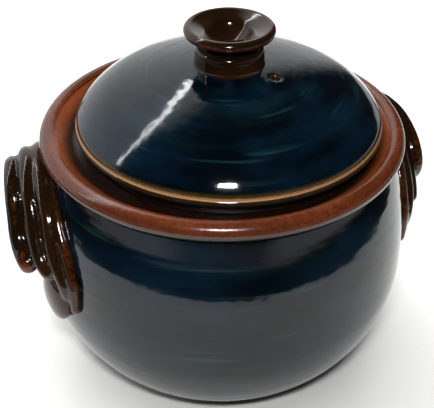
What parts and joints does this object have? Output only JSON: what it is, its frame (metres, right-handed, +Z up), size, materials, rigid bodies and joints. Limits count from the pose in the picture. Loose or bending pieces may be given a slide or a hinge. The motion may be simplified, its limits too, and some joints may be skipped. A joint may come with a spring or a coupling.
{
  "type": "covered casserole pot",
  "caption": "Round-bellied glazed clay casserole with a bare rolled rim, ribbed lug handles and a lift-off domed lid with a spool knob.",
  "frame": {"origin": "centre of the flat base, on the surface the pot stands on", "axes": "+Z up along the pot axis, +X towards the right handle, the front faces -Y"},
  "size_m": [0.27, 0.23, 0.2225],
  "materials": {
    "blue_glaze": "glossy dark blue glaze",
    "bare_clay": "satin rust-red bare clay",
    "brown_glaze": "glossy brown-black glaze, rust where it breaks over edges"
  },
  "bodies": {
    "pot": {"bowl": "blue_glaze", "gallery_rim": "bare_clay", "left_handle": "brown_glaze", "right_handle": "brown_glaze"},
    "lid": {"lid_dome": "blue_glaze", "lid_flange": "bare_clay", "lid_knob": "brown_glaze"}
  },
  "joints": [
    {"name": "lid_lift", "type": "slide", "parent": "pot", "child": "lid", "axis": [0, 0, 1], "range_m": [0, 0.15]}
  ]
}
